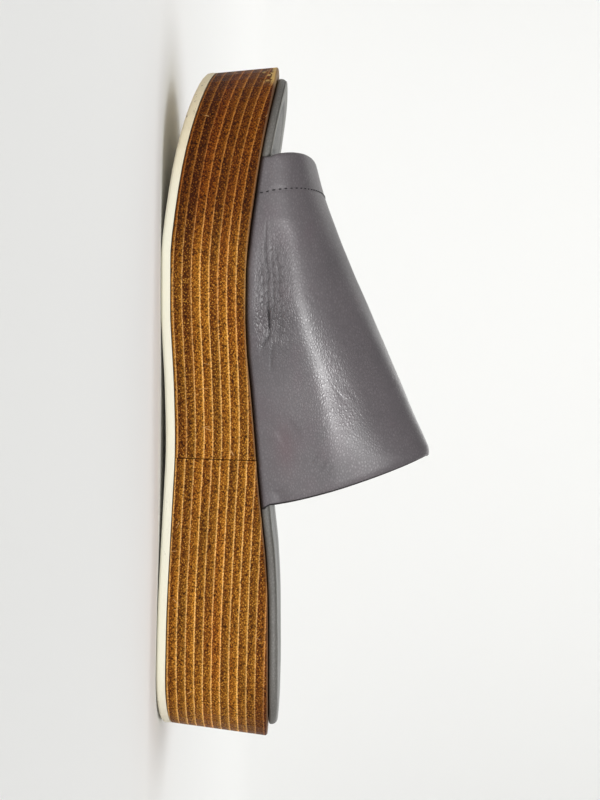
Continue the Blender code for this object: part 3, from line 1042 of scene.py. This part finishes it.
def make_band(materials):
    """The band's mesh, from skin, lining and cut edge; returns its outer grid and the gaps."""
    rows, outer, inner, ups, gaps, crease_shades = band_surfaces()
    bm = bmesh.new()
    crumple = bm.verts.layers.float.new("crumple")
    foot_shade = bm.verts.layers.float.new("foot_shade")
    smudge = bm.verts.layers.float.new("smudge")
    crease_shade = bm.verts.layers.float.new("crease_shade")
    columns = len(outer[0])
    out_verts, in_verts = [], []
    for r, (side, _, share) in enumerate(rows):
        out_line, in_line = [], []
        for c in range(columns):
            x, up = outer[r][c].x, ups[r][c]
            vert = bm.verts.new(to_frame(outer[r][c]))
            vert[crumple] = crumple_mask(x, up) * (1.0 if side > 0 else LATERAL_CRUMPLE)
            vert[foot_shade] = max(0.0, 1 - share / 0.3)
            vert[smudge] = smudge_mask(x, up) if side > 0 else 0.0
            vert[crease_shade] = crease_shades[r][c]
            out_line.append(vert)
            in_line.append(bm.verts.new(to_frame(inner[r][c])))
        out_verts.append(out_line)
        in_verts.append(in_line)

    def face(corners, index):
        bm.faces.new(corners).material_index = index

    for r in range(len(rows) - 1):
        for c in range(columns - 1):
            a, b = out_verts[r][c], out_verts[r][c + 1]
            d, e = out_verts[r + 1][c], out_verts[r + 1][c + 1]
            face((a, b, e, d), 2 if gaps[r][c][1] < CUT_EDGE else 0)
            a, b = in_verts[r][c], in_verts[r][c + 1]
            d, e = in_verts[r + 1][c], in_verts[r + 1][c + 1]
            face((d, e, b, a), 0 if gaps[r][c][0] < HEM_LENGTH else 1)
        for c, index in ((0, 0), (columns - 1, 2)):
            face((out_verts[r][c], out_verts[r + 1][c], in_verts[r + 1][c], in_verts[r][c]), index)
    for r in (0, len(rows) - 1):
        for c in range(columns - 1):
            face((out_verts[r][c], out_verts[r][c + 1], in_verts[r][c + 1], in_verts[r][c]), 2)
    bmesh.ops.recalc_face_normals(bm, faces=bm.faces)
    band = make_object("leather_band", bm, materials)
    band.data.set_sharp_from_angle(angle=math.radians(60))
    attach(band, "root")
    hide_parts("upper")
    return outer, gaps


def stitch_mesh(bm, start, end, normal):
    """One stitch: a thread that comes up, runs flat and goes back down."""
    along = end - start
    across = along.cross(normal).normalized()
    rows = []
    for i in range(STITCH_RINGS):
        t = i / (STITCH_RINGS - 1)
        lift = math.sin(math.pi * t) ** 0.5 * STITCH_SINK - STITCH_SINK * 0.62
        centre = start + along * t + normal * lift
        radius = STITCH_RADIUS * (0.55 + 0.45 * math.sin(math.pi * t))
        row = []
        for k in range(STITCH_SIDES):
            a = 2 * math.pi * k / STITCH_SIDES
            turned = across * math.cos(a) + normal * math.sin(a)
            row.append(bm.verts.new(centre + turned * radius))
        rows.append(row)
    for low, high in zip(rows, rows[1:]):
        for k in range(STITCH_SIDES):
            j = (k + 1) % STITCH_SIDES
            bm.faces.new((low[k], low[j], high[j], high[k]))
    bm.faces.new(reversed(rows[0]))
    bm.faces.new(rows[-1])


def make_stitches(outer, gaps, material):
    """Stitches round the hem, over the arch from foot to foot."""
    line, normals = [], []
    grid_n = grid_normals(outer)
    for r in range(2, len(outer) - 2):
        c = next(k for k in range(len(outer[r])) if gaps[r][k][0] > THREAD_LINE)
        low, high = gaps[r][c - 1][0], gaps[r][c][0]
        t = (THREAD_LINE - low) / (high - low)
        line.append(outer[r][c - 1].lerp(outer[r][c], t))
        normals.append(grid_n[r][c - 1].lerp(grid_n[r][c], t).normalized())
    bm = bmesh.new()
    travelled, due = 0.0, FIRST_STITCH
    for i in range(1, len(line)):
        step = (line[i] - line[i - 1]).length
        while due <= travelled + step:
            t = (due - travelled) / step
            centre = line[i - 1].lerp(line[i], t)
            normal = normals[i - 1].lerp(normals[i], t).normalized()
            along = (line[i] - line[i - 1]).normalized()
            start = to_frame(centre - along * STITCH_LENGTH / 2)
            end = to_frame(centre + along * STITCH_LENGTH / 2)
            stitch_mesh(bm, start, end, normal)
            due += STITCH_PITCH
        travelled += step
    bmesh.ops.recalc_face_normals(bm, faces=bm.faces)
    stitches = make_object("hem_stitches", bm, [material])
    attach(stitches, "root")


# The insole
# Rings of the padded insole from its underside to its middle, in mm: inset where the top
# cover's seam shows, inset round the heel where it doesn't, height
INSOLE_PROFILE = (
    (1.70, 1.70, 0.00),
    (0.90, 0.90, 0.05),
    (0.34, 0.34, 0.22),
    (0.09, 0.09, 0.55),
    (0.00, 0.00, 1.00),
    (0.02, 0.05, 1.50),
    (0.12, 0.20, 2.00),
    (0.30, 0.42, 2.40),
    (0.54, 0.66, 2.68),
    (0.82, 0.82, 2.82),
    (1.00, 0.92, 2.88),
    (0.94, 1.02, 2.96),
    (0.78, 1.12, 3.03),
    (0.76, 1.26, 3.12),
    (0.90, 1.48, 3.24),
    (1.22, 1.80, 3.35),
    (1.80, 2.30, 3.42),
    (3.20, 3.40, 3.43),
    (5.00, 5.00, 3.34),
    (7.50, 7.50, 3.18),
    (10.50, 10.50, 2.98),
    (14.00, 14.00, 2.85),
    (18.00, 18.00, 2.80),
)
HEEL_ROUND = (0.05, 0.30)
# heights in mm above which the seam and then the cover lie, and the cover's waves
SEAM_HEIGHT = 2.9
COVER_HEIGHT = 3.1
COVER_WAVES = (60, 0.12 * MM)
# how far the cover's tint shows at the heel and the toe, more at the toe as painted light,
# and the stations between
COVER_AND_TOE_LIGHT_SHARES = (0.3, 0.6)
COVER_STATIONS = (0.7, 0.9)


def make_insole(material):
    """The padded footbed: rolled leather edge, a seam groove under the top cover's edge with
    painted shade in it, and a soft top whose cover is paler, lighter toward the toe with painted
    light."""
    points = outline(*INSOLE_STEPS)
    directions = inward(points)
    bm = bmesh.new()
    cover = bm.verts.layers.float.new("cover")
    seam = bm.verts.layers.float.new("seam")
    waves, wave_height = COVER_WAVES
    rows = []
    for seamed, rounded, height in INSOLE_PROFILE:
        row = []
        for point, direction in zip(points, directions):
            inset = mix(rounded, seamed, smooth(*HEEL_ROUND, station(point.x)))
            moved = point + direction * (INSOLE_MARGIN + inset * MM)
            z = seat_z(moved.x) + SEAM + height * MM
            if height > SEAM_HEIGHT:
                z += wave_height * noise.noise(Vector((moved.x, moved.y, 0.3)) * waves)
            vert = bm.verts.new(to_frame(Vector((moved.x, moved.y, z))))
            # the cover's tint, raised toward the toe as painted light
            if height > COVER_HEIGHT:
                vert[cover] = mix(*COVER_AND_TOE_LIGHT_SHARES, smooth(*COVER_STATIONS, station(moved.x)))
            # painted shade in the groove under the cover's edge
            elif height > SEAM_HEIGHT:
                vert[seam] = smooth(*HEEL_ROUND, station(point.x))
            row.append(vert)
        rows.append(row)
    count = len(points)
    for low, high in zip(rows, rows[1:]):
        for i in range(count):
            j = (i + 1) % count
            bm.faces.new((low[j], low[i], high[i], high[j]))
    half = count // 2
    for row in (rows[0], rows[-1]):
        for i in range(half):
            a, b = row[i], row[i + 1]
            c, d = row[(-i - 1) % count], row[-i % count]
            corners = [a, b, c] if i == 0 else [a, b, d] if i == half - 1 else [a, b, c, d]
            bm.faces.new(corners)
    bmesh.ops.recalc_face_normals(bm, faces=bm.faces)
    insole = make_object("padded_insole", bm, [material])
    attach(insole, "root")
    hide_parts("insole")


# Stage
def make_stage():
    """A pale floor that curves up into a backdrop behind the shoe."""
    material = Graph("stage_white").finish(Base_Color=STAGE_COLOUR, Roughness=0.9)
    radius, steps = 0.5, 16
    back, front, high, half = -0.9, 1.6, 2.2, 3.0
    profile = [(front, 0.0), (back, 0.0)]
    for i in range(1, steps + 1):
        a = math.pi / 2 * i / steps
        profile.append((back - radius * math.sin(a), radius * (1 - math.cos(a))))
    profile.append((back - radius, high))
    bm = bmesh.new()
    rows = [[bm.verts.new((x, y, z)) for y, z in profile] for x in (-half, half)]
    for i in range(len(profile) - 1):
        bm.faces.new((rows[0][i], rows[1][i], rows[1][i + 1], rows[0][i + 1]))
    bmesh.ops.recalc_face_normals(bm, faces=bm.faces)
    mesh = bpy.data.meshes.new("backdrop")
    bm.to_mesh(mesh)
    bm.free()
    mesh.shade_smooth()
    mesh.materials.append(material)
    stage = bpy.data.objects.new("backdrop", mesh)
    bpy.context.scene.collection.objects.link(stage)
    return stage


def add_light(name, location, target, size, power):
    data = bpy.data.lights.new(name, "AREA")
    data.shape = "RECTANGLE"
    data.size, data.size_y = size
    data.energy = power
    light = bpy.data.objects.new(name, data)
    light.location = location
    light.rotation_euler = (Vector(target) - Vector(location)).to_track_quat("-Z", "Y").to_euler()
    light.visible_camera = False
    bpy.context.scene.collection.objects.link(light)
    return light


def make_world():
    """Soft light from all around, with a paler ground behind the stage's edges."""
    world = bpy.data.worlds.new("studio")
    world.use_nodes = True
    tree = world.node_tree
    light = tree.nodes["Background"]
    light.inputs["Strength"].default_value = AMBIENT
    seen = tree.nodes.new("ShaderNodeBackground")
    seen.inputs["Strength"].default_value = SEEN_GROUND
    for background in (light, seen):
        background.inputs["Color"].default_value = (1, 1, 1, 1)
    path = tree.nodes.new("ShaderNodeLightPath")
    choice = tree.nodes.new("ShaderNodeMixShader")
    tree.links.new(path.outputs["Is Camera Ray"], choice.inputs[0])
    tree.links.new(light.outputs[0], choice.inputs[1])
    tree.links.new(seen.outputs[0], choice.inputs[2])
    tree.links.new(choice.outputs[0], tree.nodes["World Output"].inputs["Surface"])
    bpy.context.scene.world = world
    bpy.context.scene.view_settings.view_transform = "Standard"


def make_lights(stage):
    """A soft key above the camera and broad fills before and behind; the stage has lights of its
    own, and leaves out the key and the rear fill."""
    lights = {name: add_light(name, *settings) for name, settings in LIGHTS.items()}
    stage_alone = bpy.data.collections.new("stage_alone")
    all_but_stage = bpy.data.collections.new("all_but_stage")
    for collection in (stage_alone, all_but_stage):
        collection.objects.link(stage)
    all_but_stage.collection_objects[0].light_linking.link_state = "EXCLUDE"
    for names, receivers in ((STAGE_ONLY, stage_alone), (SHOE_ONLY, all_but_stage)):
        for name in names:
            lights[name].light_linking.receiver_collection = receivers


def make_camera():
    data = bpy.data.cameras.new("camera")
    data.sensor_width = SENSOR
    data.lens = FOCAL_PIXELS * SENSOR / IMAGE_LONG
    data.clip_start, data.clip_end = CLIP
    camera = bpy.data.objects.new("camera", data)
    eye = to_frame(EYE)
    back = (eye - to_frame(AIM)).normalized()
    up = Vector((math.cos(ROLL), 0, -math.sin(ROLL)))
    right = up.cross(back).normalized()
    up = back.cross(right)
    rotation = Matrix((right, up, back)).transposed()
    camera.matrix_world = Matrix.Translation(eye) @ rotation.to_4x4()
    bpy.context.scene.collection.objects.link(camera)
    bpy.context.scene.camera = camera


def dress_node(name, material):
    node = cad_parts[name]
    node.data.materials.clear()
    node.data.materials.append(material)


def main():
    make_camera()
    make_world()
    make_lights(make_stage())
    for block, (first_line, seed) in BLOCKS.items():
        material = wood(f"stacked_wood_{block}", first_line, seed)
        dress_node(f"platform_{block}", material)
    dress_node("outsole", rubber())
    outer, gaps = make_band([leather("upper"), leather("lining"), plain("cut_edge", CUT, 0.8)])
    make_stitches(outer, gaps, plain("dark_thread", THREAD, 0.7, 2600.0))
    make_insole(leather("insole"))


main()
